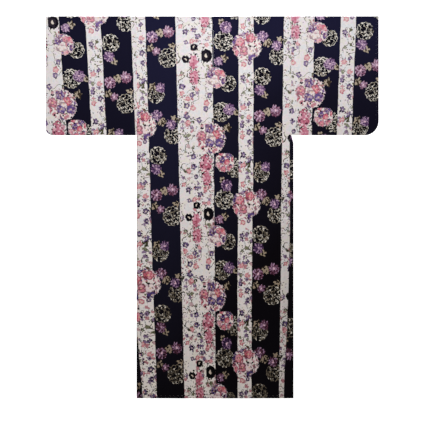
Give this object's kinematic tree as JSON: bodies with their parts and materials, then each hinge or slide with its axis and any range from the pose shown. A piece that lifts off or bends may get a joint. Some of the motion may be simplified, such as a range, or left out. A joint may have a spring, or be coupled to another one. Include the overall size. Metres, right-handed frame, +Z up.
{
  "type": "cotton yukata robe laid flat",
  "caption": "Unlined cotton yukata robe laid flat with its back up, wide square sleeves spread and its fronts closed underneath.",
  "frame": {"origin": "on the surface that the robe lies on, under the middle of its outline", "axes": "+Y from the hem to the shoulder fold, +X to the wearer's right sleeve, +Z up out of the robe's back"},
  "size_m": [1.396, 1.602, 0.0061],
  "materials": {
    "printed_cotton": "plain-woven cotton printed with navy and white stripes and flower balls, matt"
  },
  "bodies": {
    "root": {"body_left": "printed_cotton", "body_right": "printed_cotton", "sleeve_left": "printed_cotton", "sleeve_right": "printed_cotton", "overlap_left": "printed_cotton", "overlap_right": "printed_cotton", "collar": "printed_cotton"}
  },
  "joints": []
}
